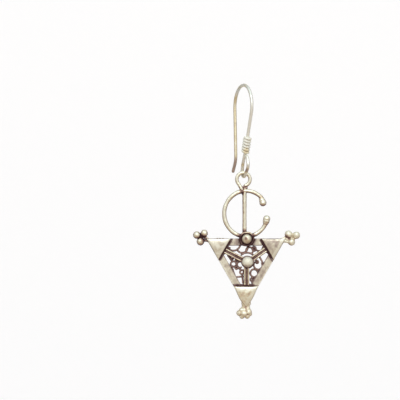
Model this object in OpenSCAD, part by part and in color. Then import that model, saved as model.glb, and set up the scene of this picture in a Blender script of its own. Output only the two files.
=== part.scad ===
// A drop earring in the style of an old silver cloak pin: a wire ear hook with
// a wound coil, and a small triangular pendant that hangs in the hook's eye.
// Millimetres, +Z up. The origin is the point inside the arch of the hook that
// rests in the ear, plumb above the eye. The pendant's face looks along -Y, and
// the hook stands in an upright plane that is turned a little from the side view.

/* [Ear hook] */
// Thickness of the hook's wire
hook_wire = 0.8; // [0.75:0.05:0.85]
// Radius of the arch, to the middle of the wire
arch_r = 5.3; // [5.2:0.05:5.4]
// How far the middle of the arch lies behind the plumb line of the eye
arch_back = 0.35; // [0.2:0.05:0.5]
// Lean of the front leg from plumb, in degrees
leg_lean = 21; // [20:0.5:22]
// Turn of the hook's plane away from straight front to back, in degrees
hook_turn = 21.5; // [18:0.5:25]
// Height of the free tip of the tail
tail_tip_z = -21; // [-22:0.1:-20]

/* [Coil on the hook] */
// Thickness of the coil's fine wire
coil_wire = 0.6; // [0.4:0.05:0.6]
// Full turns of the coil
coil_turns = 5.5; // [4:0.25:6]
// Rise of the coil for one turn
coil_pitch = 0.73; // [0.7:0.01:0.8]
// Gap between the coil and the wire that it is wound on
coil_gap = 0.04; // [0.03:0.01:0.08]

/* [Hanging link] */
// Thickness of the wire of the pendant's loop
loop_wire = 0.9; // [0.8:0.05:0.95]
// Radius of the loop, to the middle of the wire
loop_r = 1.65; // [1.6:0.05:1.8]
// Play between the loop and the hook's eye
link_play = 0.12; // [0.1:0.01:0.15]

/* [Open ring and pin] */
// Thickness of the open ring's wire
ring_wire = 1.05; // [0.9:0.05:1.2]
// Half the width of the open ring, to the middle of the wire
ring_half_w = 5.45; // [5.2:0.05:5.7]
// Half the height of the open ring, to the middle of the wire
ring_half_h = 5.72; // [5.5:0.02:5.9]
// Drop from the hanging point to the middle of the open ring
ring_drop = 10.25; // [10:0.05:10.5]
// Radius of the knobs on the ends of the open ring
knob_r = 0.87; // [0.7:0.02:0.95]
// Thickness of the pin that crosses the open ring
pin_d = 1.04; // [0.9:0.02:1.2]

/* [Triangular plate] */
// Length of each side of the plate
plate_side = 20; // [19.6:0.1:20.4]
// Thickness of the plate
plate_t = 0.8; // [0.6:0.05:1]
// Width of the strip that frames the window
strip_w = 1.8; // [1.6:0.05:1.9]
// Drop from the hanging point to the plate's top edge
plate_drop = 16.45; // [16.3:0.05:16.6]
// How far the middle of the plate lies to the right of the hanging point
plate_right = 0.55; // [0.4:0.05:0.7]
// How far the middle of the plate's thickness lies behind the hanging point
plate_back = 0.3; // [0.1:0.01:0.4]

/* [Corner caps] */
// Side of each raised cap
cap_side = 6.2; // [5.8:0.1:6.5]
// Height of a cap's rim above the plate
cap_rim = 0.35; // [0.25:0.05:0.5]
// Height of a cap's middle above its rim
cap_rise = 0.5; // [0.3:0.05:0.6]
// Width of the dark lip along a cap's inner edge
lip_w = 0.55; // [0.4:0.05:0.6]

/* [Window work] */
// Thickness of the straight rods
rod_d = 0.5; // [0.5:0.01:0.56]
// Spacing of the two rods of a pair
rod_pitch = 0.88; // [0.8:0.02:1]
// Thickness of the fine scroll wire
scroll_wire = 0.42; // [0.42:0.01:0.46]
// Radius of the ball in the middle
boss_r = 1.33; // [1.2:0.01:1.4]
// Radius of the ball on the top edge
top_ball_r = 1.2; // [1:0.02:1.25]
// Radius of the cup under the top ball
cup_r = 1.88; // [1.75:0.01:2]

/* [Hidden] */

// The silver of the hook, and the older, warmer silver of the pendant
bright = [0.82, 0.82, 0.80];
antique = [0.78, 0.73, 0.63];

// The wire of the hook runs through these corners, and is bent at each of them.
// Columns: toward the back, up, bend radius
tail_lean = 2.4;
arch_flat = 0.3;
arch_top = arch_r - sqrt(pow(arch_r - hook_wire / 2, 2) - pow(arch_back, 2));
eye_base = -22.45;
hook_corners = [
    [6.9, tail_tip_z, 0],
    [5.1, tail_tip_z + 2.8, 4.0],
    [arch_back + arch_flat / 2 + arch_r * tan((90 + tail_lean) / 2), arch_top, arch_r],
    [arch_back - arch_flat / 2 - arch_r * tan((90 + leg_lean) / 2), arch_top, arch_r],
    [-0.72, eye_base + 5.55, 1.5],
    [0.62, eye_base + 3.10, 2.6],
    [2.35, eye_base - 3.152, 1.17],
    [-2.98, eye_base + 2.60, 1.7],
    [-2.20, eye_base + 4.75, 0.9],
    [-1.46, eye_base + 5.12, 0]
];
leg_head = hook_corners[3];
leg_foot = hook_corners[4];
coil_lean = atan2(leg_foot.x - leg_head.x, leg_head.y - leg_foot.y);

// The pendant turns about the middle of its loop's top wire
pivot_z = eye_base + hook_wire / 2 + link_play + loop_wire / 2;
loop_z = pivot_z - loop_r;
loop_x = -0.1;
ring_x = 0.55;
ring_z = pivot_z - ring_drop;
ring_upper_end = 47;
ring_lower_end = -27;
pin_x = 0.18;
pin_top_z = pivot_z - 4.4;

// The plate's own places are measured from its middle, right and up
plate_h = plate_side * sqrt(3) / 2;
plate_top_z = pivot_z - plate_drop;
plate_mid_z = plate_top_z - plate_h / 3;
plate_front = plate_back - plate_t / 2;
cap_depth = cap_side * sqrt(3) / 2;
corner_reach = plate_h * 2 / 3;
corner_angles = [150, 30, 270];

// The three clusters of balls, measured from the plate's middle.
// Columns: right, up, radius
left_balls = [[-12.32, 6.65, 0.90], [-10.42, 7.12, 0.92], [-11.50, 5.08, 0.90]];
right_balls = [[10.58, 6.84, 0.97], [12.59, 6.58, 0.95], [11.42, 4.83, 0.85]];
foot_balls = [[-1.60, -12.75, 0.92], [0.72, -12.80, 0.88], [-0.42, -13.30, 0.96], [-0.48, -12.05, 0.85]];

// The pairs of rods, each along the line between two places.
// Columns: right, up at the lip; right, up at the ball
rod_lines = [
    [-5.12, 2.65, -0.80, 0.47],
    [4.79, 2.94, 1.40, 0.55],
    [0.14, -5.72, 0.14, -1.20]
];

// The scroll wires in the window, each an arc or a turn of a spiral.
// Columns: right, up, first radius, last radius, first angle, sweep
scrolls = [
    // top
    [-3.10, 4.45, 1.70, 1.70, -5, -145],
    [-0.92, 3.52, 1.34, 1.34, 40, -200],
    [0.88, 2.74, 0.86, 0.86, 215, -265],
    [0.38, -0.10, 2.30, 2.30, 50, 80],
    [2.10, 3.15, 0.60, 0.14, 100, 560],
    [3.30, 3.55, 0.92, 0.92, 175, 190],
    [4.55, 3.05, 0.40, 0.20, 120, -330],
    [-4.25, 3.05, 0.42, 0.20, 60, 300],
    // lower left
    [-3.12, -0.60, 0.68, 0.68, 0, 360],
    [-1.50, -0.80, 0.78, 0.70, 80, 215],
    [-2.45, -1.60, 0.42, 0.20, 150, -340],
    [-1.02, -2.62, 0.50, 0.50, 0, 360],
    [-2.20, 0.60, 0.45, 0.22, 200, 330],
    [-3.55, 1.00, 0.48, 0.24, -60, 330],
    // lower right
    [3.05, -0.90, 1.12, 1.04, 140, 250],
    [2.72, -0.15, 0.42, 0.18, 120, -330],
    [2.05, -2.92, 0.96, 0.96, 0, 360],
    [1.50, -4.55, 0.45, 0.22, 60, 320],
    [2.35, 1.00, 0.40, 0.20, 200, -320]
];
// The short straight wires between the scrolls.
// Columns: right, up, right, up
struts = [
    [-4.50, 1.50, -3.45, 0.00],
    [-3.60, -1.10, -2.70, -3.75],
    [-3.35, -4.05, -0.70, -3.72],
    [-2.10, -1.40, -1.10, -2.20],
    [3.30, 1.30, 4.30, -0.50],
    [2.85, -2.25, 4.10, -1.40],
    [2.60, -3.60, 1.50, -5.30],
    [-0.95, -3.00, -0.75, -5.30]
];

// How finely round parts are drawn
exact_fn = 48;
mesh_fn = 16;
small_ball_fn = 14;
tube_sides = 10;
seam_bead = 0.02;
wire_unevenness = 0.14;
wire_stride = 0.732;

function unit(v) = v / norm(v);
// Ends of the bend at corner i, and the angle that the wire turns through there
function into(p, i) = [p[i].x - p[i - 1].x, p[i].y - p[i - 1].y];
function turn_at(p, i) =
    let (a = into(p, i), b = into(p, i + 1))
    atan2(a.x * b.y - a.y * b.x, a.x * b.x + a.y * b.y);
function bend_reach(p, i) =
    i == 0 || i == len(p) - 1 ? 0 : p[i].z * tan(abs(turn_at(p, i)) / 2);
function flat(v) = [v.x, v.y];

// Wire of thickness d in the XY plane, bent at each inner corner. A bead a hair
// thicker than the wire rounds its tips and covers each seam of a run and a bend
module bent_wire(corners, d) {
    for (i = [1 : len(corners) - 1]) {
        way = unit(into(corners, i));
        from = flat(corners[i - 1]) + way * bend_reach(corners, i - 1);
        to = flat(corners[i]) - way * bend_reach(corners, i);
        translate(from)
            rotate([0, 90, atan2(way.y, way.x)]) {
                cylinder(h = norm(to - from), d = d, $fn = exact_fn);
                for (z = [0, norm(to - from)])
                    translate([0, 0, z])
                        sphere(d = d + seam_bead, $fn = exact_fn);
            }
        if (i < len(corners) - 1)
            wire_bend(to, way, corners[i].z, turn_at(corners, i), d);
    }
}

// One bend of radius r that starts at a point and turns left or right
module wire_bend(start, way, r, turn, d) {
    side = sign(turn) * [-way.y, way.x];
    first = atan2(-side.y, -side.x);
    translate(start + side * r)
        rotate([0, 0, min(first, first + turn)])
            rotate_extrude(angle = abs(turn), $fn = 4 * exact_fn)
                translate([r, 0])
                    circle(d = d, $fn = exact_fn);
}

// Stands a shape drawn in the hook's plane upright in its place
module in_hook_plane() {
    rotate([0, 0, 90 + hook_turn])
        rotate([90, 0, 0])
            children();
}

module ear_hook() {
    color(bright)
        in_hook_plane()
            bent_wire(hook_corners, hook_wire);
}

// A round wire along a path. The reference axis is square to the path's bends
module tube(path, d, axis, sides = tube_sides) {
    n = len(path);
    rings = [
        for (i = [0 : n - 1])
            let (
                way = unit(path[min(i + 1, n - 1)] - path[max(i - 1, 0)]),
                out = unit(cross(way, axis)),
                up = cross(out, way)
            )
            for (k = [0 : sides - 1])
                path[i] + d / 2 * (cos(360 * k / sides) * out + sin(360 * k / sides) * up)
    ];
    walls = [
        for (i = [0 : n - 2], k = [0 : sides - 1])
            let (a = i * sides + k, b = i * sides + (k + 1) % sides)
            each [[a, b, a + sides], [b, b + sides, a + sides]]
    ];
    ends = [
        [for (k = [sides - 1 : -1 : 0]) k],
        [for (k = [0 : sides - 1]) (n - 1) * sides + k]
    ];
    polyhedron(points = rings, faces = concat(walls, ends));
}

// The coil stands on the front leg just above its foot, with both ends free
module hook_coil() {
    r = hook_wire / 2 + coil_gap + coil_wire / 2;
    steps = 16;
    turned = 360 * coil_turns;
    start = 60;
    end_len = 0.45;
    helix = [
        for (s = [0 : coil_turns * steps])
            let (a = start + turned * s / (coil_turns * steps))
            [r * cos(a), r * sin(a), coil_pitch * (a - start) / 360]
    ];
    first_end = helix[0] + end_len * [sin(start), -cos(start), 0];
    stop = start + turned;
    last_end = helix[len(helix) - 1] + end_len * [-sin(stop), cos(stop), 0];
    color(bright)
        in_hook_plane()
            translate([leg_foot.x, leg_foot.y, 0])
                rotate([0, 0, coil_lean])
                    translate([0, 0.45, 0])
                        rotate([-90, 0, 0])
                            tube(concat([first_end], helix, [last_end]), coil_wire, [0, 0, 1], 8);
}

// A ball of silver
module ball(r, sides = mesh_fn) {
    sphere(r = r, $fn = sides);
}

// A point on the plate's face, from its own places
function on_plate(right, up, y = plate_back) = [plate_right + right, y, plate_mid_z + up];

// The closed loop that hangs in the hook's eye, with its neck down to the pin
module loop() {
    translate([loop_x, 0, loop_z])
        rotate([90, 0, 0])
            rotate_extrude($fn = 32)
                translate([loop_r, 0])
                    circle(d = loop_wire, $fn = 12);
    hull() {
        translate([loop_x - 0.75, 0, loop_z - loop_r + 0.2])
            sphere(d = loop_wire, $fn = 12);
        translate([pin_x, 0, pin_top_z - 0.3])
            sphere(d = pin_d, $fn = 12);
    }
    // bead of solder that closes the loop
    hull() {
        translate([loop_x + 0.65, 0, loop_z - loop_r + 0.05])
            sphere(r = 0.5, $fn = 12);
        translate([pin_x + 0.1, 0, pin_top_z])
            sphere(r = 0.5, $fn = 12);
    }
}

// The straight pin from the loop to the plate
module pin() {
    translate([pin_x, 0, plate_top_z - 0.2])
        rotate([0, 0, 180 / 14])
            cylinder(h = pin_top_z - plate_top_z, d = pin_d, $fn = 14);
}

// A point of the open ring's middle line
function ring_point(a) = [ring_x + ring_half_w * cos(a), 0, ring_z + ring_half_h * sin(a)];

// The ring of the cloak pin, open on the right between two knobs
module open_ring() {
    steps = 42;
    sweep = 360 + ring_lower_end - ring_upper_end;
    tube([for (s = [0 : steps]) ring_point(ring_upper_end + sweep * s / steps)], ring_wire, [0, 1, 0]);
    ring_knob(ring_upper_end, [ring_x + 4.24, 0, ring_z + 2.74]);
    ring_knob(ring_lower_end, [ring_x + 5.18, 0, ring_z - 1.27]);
}

// A pear-shaped knob from an end of the ring
module ring_knob(end_angle, middle) {
    hull() {
        translate(ring_point(end_angle))
            sphere(d = ring_wire, $fn = 14);
        translate(middle)
            ball(knob_r);
    }
}

// Triangle with its middle at the origin and one corner down
module down_triangle(side) {
    rotate([0, 0, -90])
        circle(r = side / sqrt(3), $fn = 3);
}

// Flat strip on each side of the window, closed under the caps
module plate() {
    translate(on_plate(0, 0))
        rotate([90, 0, 0])
            linear_extrude(plate_t, center = true)
                difference() {
                    down_triangle(plate_side);
                    intersection() {
                        down_triangle(plate_side - strip_w * 2 * sqrt(3));
                        rotate([0, 0, 180])
                            down_triangle((corner_reach - cap_depth - lip_w) * 2 * sqrt(3));
                    }
                }
}

// Puts a shape drawn from the plate's middle out to a corner, along +X, in its place
module at_corner(angle) {
    translate(on_plate(0, 0, plate_front))
        rotate([90, 0, 0])
            rotate([0, 0, angle])
                children();
}

// Height of the cap's pillow over its rim, from a place's share of each corner
function pillow(a, b, c) = cap_rise * pow(27 * a * b * c, 0.38);

// Raised corner cap, a pillow with straight sides
module cap() {
    n = 9;
    corners = [
        [corner_reach - 0.12, 0],
        [corner_reach - cap_depth, cap_side / 2 - 0.05],
        [corner_reach - cap_depth, 0.05 - cap_side / 2]
    ];
    spots = [
        for (i = [0 : n], j = [0 : n - i])
            let (a = i / n, b = j / n, c = 1 - a - b)
            concat(corners[0] * a + corners[1] * b + corners[2] * c, cap_rim + pillow(a, b, max(c, 0)))
    ];
    row = [for (i = [0 : n + 1]) i * (n + 1) - i * (i - 1) / 2];
    top = [
        for (i = [0 : n - 1], j = [0 : n - 1 - i])
            each concat(
                [[row[i] + j, row[i] + j + 1, row[i + 1] + j]],
                j < n - 1 - i ? [[row[i] + j + 1, row[i + 1] + j + 1, row[i + 1] + j]] : []
            )
    ];
    rim = concat(
        [for (j = [0 : n - 1]) row[0] + j],
        [for (i = [0 : n - 1]) row[i] + n - i],
        [for (i = [n : -1 : 1]) row[i]]
    );
    count = len(spots);
    base = [for (k = rim) [spots[k].x, spots[k].y, -0.1]];
    m = len(rim);
    sides = [
        for (k = [0 : m - 1])
            let (q = (k + 1) % m)
            each [[rim[k], count + k, rim[q]], [rim[q], count + k, count + q]]
    ];
    floor_face = [[for (k = [m - 1 : -1 : 0]) count + k]];
    polyhedron(points = concat(spots, base), faces = concat(top, sides, floor_face));
}

// Narrow lip that steps down from a cap almost to the window's edge
module cap_lip() {
    set_back = 0.09;
    length = cap_side - 0.3;
    translate([corner_reach - cap_depth - lip_w + set_back, -length / 2, -0.1])
        cube([lip_w + 0.2, length, 0.28]);
}

// Two rods side by side, from a cap's lip to the ball in the middle
module rod_pair(line) {
    from = [line[0], line[1]];
    to = [line[2], line[3]];
    side = rod_pitch / 2 * unit([from.y - to.y, to.x - from.x]);
    for (s = [-side, side])
        hull()
            for (end = [from + s, to + s])
                translate(on_plate(end.x, end.y, plate_front - 0.08))
                    sphere(d = rod_d, $fn = 10);
}

// The ball in the middle, in its collar of fine wire
module centre_boss() {
    translate(on_plate(0.38, -0.1, plate_front - 0.25))
        ball(boss_r);
    translate(on_plate(0.38, -0.1, plate_front - 0.05))
        rotate([90, 0, 0])
            rotate_extrude($fn = 32)
                translate([boss_r + 0.08, 0])
                    circle(d = scroll_wire + 0.06, $fn = 8);
}

// The ball on the top edge, in a shallow cup that covers the pin's foot
module top_ball() {
    middle = on_plate(0.18, plate_h / 3 - 0.1, plate_front);
    translate(middle)
        rotate([90, 0, 0])
            rotate_extrude($fn = 28)
                polygon([
                    [0, -0.5], [cup_r - 0.35, -0.5], [cup_r, -0.13],
                    [cup_r, 0.4], [cup_r - 0.3, 0.55], [top_ball_r, 0.3], [0, 0.3]
                ]);
    translate(middle + [0, -0.45, 0])
        ball(top_ball_r);
}

// Balls at a corner, joined to each other and to the plate by webs of solder
module ball_cluster(balls, solder, corner, neck = 0.4) {
    y = plate_front + 0.15;
    for (b = balls)
        translate(on_plate(b.x, b.y, plate_front))
            ball(b.z, small_ball_fn);
    for (b = concat(balls, [corner]))
        hull() {
            translate(on_plate(solder.x, solder.y, y))
                sphere(r = neck + 0.06, $fn = 8);
            translate(on_plate((solder.x + b.x) / 2, (solder.y + b.y) / 2, y))
                sphere(r = neck, $fn = 8);
        }
}

// Depth of the middle of wire number i. No two of the wires lie quite level
function wire_depth(i) = plate_front + scroll_wire / 2 + wire_unevenness * (i * wire_stride % 1);

// One scroll of fine wire in the window, with its middle at depth y
module scroll(s, y) {
    steps = max(4, ceil(abs(s[5]) / (s[2] < 0.55 ? 42 : 27)));
    closed = s[5] == 360;
    middle = on_plate(s[0], s[1], y);
    if (closed)
        translate(middle)
            rotate([90, 0, 0])
                rotate_extrude($fn = 14)
                    translate([s[2], 0])
                        circle(d = scroll_wire, $fn = 6);
    else
        tube(
            [
                for (k = [0 : steps])
                    let (a = s[4] + s[5] * k / steps, r = s[2] + (s[3] - s[2]) * k / steps)
                    middle + [r * cos(a), 0, r * sin(a)]
            ],
            scroll_wire, [0, 1, 0], 6
        );
}

// One short straight wire in the window, with its middle at depth y
module strut(s, y) {
    tube([on_plate(s[0], s[1], y), on_plate(s[2], s[3], y)], scroll_wire, [0, 1, 0], 6);
}

module fibula_pendant() {
    color(antique)
        union() {
            loop();
            pin();
            open_ring();
            plate();
            for (angle = corner_angles)
                at_corner(angle) {
                    cap();
                    cap_lip();
                }
            for (line = rod_lines)
                rod_pair(line);
            centre_boss();
            top_ball();
            ball_cluster(left_balls, [-10.95, 6.15], [-8.9, 5.3]);
            ball_cluster(right_balls, [10.95, 5.85], [8.9, 5.3]);
            ball_cluster(foot_balls, [0, -12.0], [0, -10.4], 0.8);
            for (i = [0 : len(scrolls) - 1])
                scroll(scrolls[i], wire_depth(i));
            for (i = [0 : len(struts) - 1])
                strut(struts[i], wire_depth(len(scrolls) + i));
        }
}

ear_hook();
hook_coil();
fibula_pendant();
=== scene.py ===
# %% [markdown]
# # A silver drop earring, modelled as a maker would build it
# The earring is a small copy of an old silver cloak pin. A bent wire hook holds a pendant, and the
# pendant is soldered together from plate, wire and balls. The CAD model gives every size and place.
# Blender adds what a caliper doesn't catch: solder that has run into the joints, hand-cut edges,
# the black that stays in the hollows, and the soft shine of worn silver.
#
# The frame comes first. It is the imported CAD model, and every piece below rides on one of its bodies.

# %% Load the frame
import math

import bmesh
import bpy
import numpy as np
from mathutils import Matrix, Vector
from mathutils.bvhtree import BVHTree


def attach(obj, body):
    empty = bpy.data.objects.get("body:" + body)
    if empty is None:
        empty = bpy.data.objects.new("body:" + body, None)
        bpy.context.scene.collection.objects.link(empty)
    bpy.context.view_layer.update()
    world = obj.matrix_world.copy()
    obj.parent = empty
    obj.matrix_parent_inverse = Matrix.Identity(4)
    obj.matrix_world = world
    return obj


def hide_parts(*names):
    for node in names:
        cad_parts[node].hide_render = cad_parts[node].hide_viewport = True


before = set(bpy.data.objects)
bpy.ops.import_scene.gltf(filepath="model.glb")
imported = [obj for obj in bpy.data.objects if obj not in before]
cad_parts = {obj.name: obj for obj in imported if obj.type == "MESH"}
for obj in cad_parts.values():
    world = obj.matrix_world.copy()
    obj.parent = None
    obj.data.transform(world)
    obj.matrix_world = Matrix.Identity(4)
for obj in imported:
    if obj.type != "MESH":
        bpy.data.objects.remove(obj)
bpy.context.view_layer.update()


# %% [markdown]
# ## Working in millimetres
# Blender counts in metres, and a solder bead is a tenth of a millimetre. Blender's voxel remesh can't
# go that fine in metres. So each piece is made with one Blender unit for a millimetre, and is scaled
# down when it is done.
#
# Wire and balls make almost everything here. A wire is a round section that is carried along a
# path. It could be a curve with a bevel, but a mesh is easily closed at both ends, which the remesh
# needs, and its thickness can change on the way.

# %% Wire and balls
TIP_BLUNT = 0.12


def unit(v):
    return v / np.linalg.norm(v, axis=-1, keepdims=True)


def full_turn(steps):
    return np.linspace(0, 2 * math.pi, steps, endpoint=False)


def arc(middle, right, up, angles):
    """Points round a middle, facing the viewer. The two radii are to the right and upward."""
    flat = np.column_stack([right * np.cos(angles), 0 * angles, up * np.sin(angles)])
    return flat + middle


def joined_rings(rings, sides, closed=False):
    """Four-sided faces between each ring of points and the next."""
    index = np.arange(rings * sides).reshape(rings, sides)
    after = np.roll(index, -1, 0)
    if not closed:
        index, after = index[:-1], after[:-1]
    corners = index, np.roll(index, -1, 1), np.roll(after, -1, 1), after
    return np.stack([c.ravel() for c in corners], 1).tolist()


def stacked(rings):
    """A closed shape through rings of points, with a flat face at both ends."""
    n = len(rings[0])
    last = (len(rings) - 1) * n
    ends = [list(range(n)), list(range(last + n - 1, last - 1, -1))]
    return np.concatenate(rings), joined_rings(len(rings), n) + ends


def wire(path, radius, sides=20, across=(0, 0, 1)):
    """A closed tube along the points of path. radius is one number, or one for each point."""
    path = np.asarray(path, float)
    radius = np.broadcast_to(radius, len(path))
    way = unit(np.gradient(path, axis=0))
    side = np.cross(way[0], across)
    if np.linalg.norm(side) < 1e-3:
        side = np.cross(way[0], (0, 1, 0))
    turns = full_turn(sides)
    rings = []
    for point, forward, r in zip(path, way, radius):
        side = unit(side - forward * (side @ forward))
        up = np.cross(forward, side)
        rings.append(point + r * (np.outer(np.cos(turns), side) + np.outer(np.sin(turns), up)))
    faces = joined_rings(len(path), sides)
    first, end = len(path) * sides, (len(path) - 1) * sides
    faces += [[first, (k + 1) % sides, k] for k in range(sides)]
    faces += [[first + 1, end + k, end + (k + 1) % sides] for k in range(sides)]
    return np.concatenate([*rings, path[:1], path[-1:]]), faces


def rounded(path, radius, steps):
    """The path and radii with a half-round tip at both ends, blunt enough to be closed."""
    path = np.asarray(path, float)
    radius = np.broadcast_to(radius, len(path))
    angles = np.linspace(0, math.pi / 2, steps + 1)[1:]
    angles[-1] -= TIP_BLUNT

    def tip(end, before):
        way = unit(path[end] - path[before])
        return path[end] + way * radius[end] * np.sin(angles)[:, None], radius[end] * np.cos(angles)

    head, thin_head = tip(0, 1)
    foot, thin_foot = tip(-1, -2)
    return (np.concatenate([head[::-1], path, foot]),
            np.concatenate([thin_head[::-1], radius, thin_foot]))


def ball(middle, radius, stretch=(1, 1, 1), detail=4):
    """A ball round a point."""
    bm = bmesh.new()
    bmesh.ops.create_icosphere(bm, subdivisions=detail, radius=1.0)
    points = np.array([v.co for v in bm.verts]) * radius * stretch
    faces = [[v.index for v in f.verts] for f in bm.faces]
    bm.free()
    return points + middle, faces


def ring_of_wire(middle, radius, thickness, steps, wobble, seed):
    """A closed ring of wire that faces the viewer, as a soldered jump ring is."""
    a, sides = full_turn(steps), 14
    r = radius + wobble * np.sin(2 * a + seed) + 0.6 * wobble * np.sin(3 * a + 2.1 * seed)
    around = full_turn(sides)
    out = r[:, None] + thickness / 2 * np.cos(around)[None]
    depth = np.broadcast_to(thickness / 2 * np.sin(around)[None], out.shape)
    points = np.stack([out * np.cos(a)[:, None], depth, out * np.sin(a)[:, None]], -1)
    return points.reshape(-1, 3) + middle, joined_rings(steps, sides, closed=True)


print("a 0.8 mm wire with 20 sides has faces", round(math.pi * 0.8 / 20, 3), "mm wide")

# %% [markdown]
# ## From parts to one skin
# Parts that are soldered together become one lump of metal. Booleans would leave knife-sharp joints.
# A voxel remesh gives one skin round all the parts, and a little smoothing after it rounds the
# corners where they meet, just as solder does when it runs. Fine wires get small voxels, and the
# plain sheet gets large ones.

# %% Gather parts, and fuse them
FINE, MIDDLE, COARSE, PLAIN = 0.045, 0.05, 0.055, 0.075


def placed(name, data):
    """A new object in the scene, for a mesh, a lamp or a camera."""
    ob = bpy.data.objects.new(name, data)
    bpy.context.scene.collection.objects.link(ob)
    return ob


def gather(name, parts):
    """One object, in millimetres, from any number of (points, faces) parts."""
    points, faces, start = [], [], 0
    for part_points, part_faces in parts:
        points.append(part_points)
        faces += [[i + start for i in face] for face in part_faces]
        start += len(part_points)
    mesh = bpy.data.meshes.new(name)
    mesh.from_pydata(np.concatenate(points).tolist(), [], faces)
    mesh.validate()
    bm = bmesh.new()
    bm.from_mesh(mesh)
    bmesh.ops.recalc_face_normals(bm, faces=bm.faces)
    bm.to_mesh(mesh)
    bm.free()
    return placed(name, mesh)


def fuse(ob, voxel, melt):
    """One skin round all the parts. Each round of melt softens the joints a little more."""
    skin = ob.modifiers.new("skin", "REMESH")
    skin.mode = "VOXEL"
    skin.voxel_size = voxel
    skin.adaptivity = 0
    soft = ob.modifiers.new("soft", "SMOOTH")
    soft.factor = 0.5
    soft.iterations = melt
    depsgraph = bpy.context.evaluated_depsgraph_get()
    made = bpy.data.meshes.new_from_object(ob.evaluated_get(depsgraph))
    old = ob.data
    ob.modifiers.clear()
    ob.data = made
    bpy.data.meshes.remove(old)
    made.name = ob.name
    return ob


def points_of(ob, what="co"):
    """Where each point is, or with "normal" the way that the surface faces there."""
    values = np.empty(len(ob.data.vertices) * 3, np.float32)
    ob.data.vertices.foreach_get(what, values)
    return values.reshape(-1, 3).astype(float)


def waves(co, size, seed):
    """Smooth unevenness between about -1 and 1, with bumps about size millimetres apart."""
    rng = np.random.default_rng(seed)
    total = np.zeros(len(co))
    for octave in range(3):
        for _ in range(7):
            way = unit(rng.normal(size=3))
            total += np.sin(co @ way * 2 * math.pi * 1.7 ** octave / size
                            + rng.uniform(0, 2 * math.pi)) / 1.8 ** octave
    return total / 6.0


def handwork(ob, rough, bumps, seed):
    """Moves the surface in and out by a few hundredths of a millimetre, as hand tools leave it."""
    co = points_of(ob)
    co += points_of(ob, "normal") * (rough * waves(co, bumps, seed))[:, None]
    ob.data.vertices.foreach_set("co", co.astype(np.float32).ravel())
    ob.data.update()
    return ob


def soldered(name, parts, voxel, melt, rough, bumps, seed):
    """Parts that the solder has made one, with the marks of the hand on them."""
    ob = handwork(fuse(gather(name, parts), voxel, melt), rough, bumps, seed)
    print(f"{name}: {len(parts)} parts, {len(ob.data.polygons)} faces")
    return ob


print("voxels of the skins in mm:", FINE, MIDDLE, COARSE, PLAIN)

# %% [markdown]
# ## The hook
# An ear hook is one length of hard silver wire, bent on pegs. A bend table describes it just as a
# bending jig would: the corners that the wire would have if it were sharp, and the radius of each
# bend. The table is the same as the CAD model's, so the visible wire lies on the solid.

# %% Bend the hook's wire
HOOK_WIRE = 0.8
HOOK_TURN = math.radians(21.5)
EYE_BASE = -22.45
TAIL_TIP = -21.0
ARCH_R, ARCH_BACK, ARCH_FLAT = 5.3, 0.35, 0.3
TAIL_LEAN, LEG_LEAN = 2.4, 21
arch_top = ARCH_R - math.sqrt((ARCH_R - HOOK_WIRE / 2) ** 2 - ARCH_BACK ** 2)
tail_reach, leg_reach = (ARCH_R * math.tan(math.radians(90 + lean) / 2) for lean in (TAIL_LEAN, LEG_LEAN))
# Columns: toward the back, up, bend radius
hook_corners = [
    (6.9, TAIL_TIP, 0),
    (5.1, TAIL_TIP + 2.8, 4.0),
    (ARCH_BACK + ARCH_FLAT / 2 + tail_reach, arch_top, ARCH_R),
    (ARCH_BACK - ARCH_FLAT / 2 - leg_reach, arch_top, ARCH_R),
    (-0.72, EYE_BASE + 5.55, 1.5),
    (0.62, EYE_BASE + 3.1, 2.6),
    (2.35, EYE_BASE - 3.152, 1.17),
    (-2.98, EYE_BASE + 2.6, 1.7),
    (-2.2, EYE_BASE + 4.75, 0.9),
    (-1.46, EYE_BASE + 5.12, 0),
]


def bent(corners, step=0.11):
    """Points along a wire that is bent at each inner corner of a table."""
    places = np.array([c[:2] for c in corners], float)
    ways = unit(np.diff(places, axis=0))
    start, line = places[0], []
    for place, row, way, after in zip(places[1:], corners[1:], ways, ways[1:]):
        turn = math.atan2(way[0] * after[1] - way[1] * after[0], way @ after)
        stop = place - way * row[2] * math.tan(abs(turn) / 2)
        count = max(1, int(np.linalg.norm(stop - start) / step))
        line.append(np.linspace(start, stop, count, endpoint=False))
        side = math.copysign(1, turn) * np.array([-way[1], way[0]])
        count = max(4, int(abs(turn) * row[2] / step))
        angles = math.atan2(-side[1], -side[0]) + np.linspace(0, turn, count, endpoint=False)
        line.append(stop + row[2] * (side + np.column_stack([np.cos(angles), np.sin(angles)])))
        start = place + after * row[2] * math.tan(abs(turn) / 2)
    count = max(1, int(np.linalg.norm(places[-1] - start) / step))
    return np.concatenate([*line, np.linspace(start, places[-1], count + 1)])


def in_hook_plane(flat, beside=0):
    """Stands points of the hook's own plane up in their place."""
    back, up = flat[:, 0], flat[:, 1]
    s, c = math.sin(HOOK_TURN), math.cos(HOOK_TURN)
    return np.column_stack([-back * s + beside * c, back * c + beside * s, up])


def length_of(line):
    return np.linalg.norm(np.diff(line, axis=0), axis=1).sum()


hook_line = in_hook_plane(bent(hook_corners))
hook = gather("ear_hook_wire", [wire(*rounded(hook_line, HOOK_WIRE / 2, 4), 22)])
handwork(hook, rough=0.006, bumps=2.4, seed=11)
print("the hook takes", round(length_of(hook_line), 1), "mm of wire")

# %% [markdown]
# The coil stops the eye from springing open on the real hook. It is wound from thinner wire,
# straight on the leg, so its turns lie close together and its cut ends stick out a little. The
# visible wire is a touch thicker than the solid's, which closes the turns.

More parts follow.
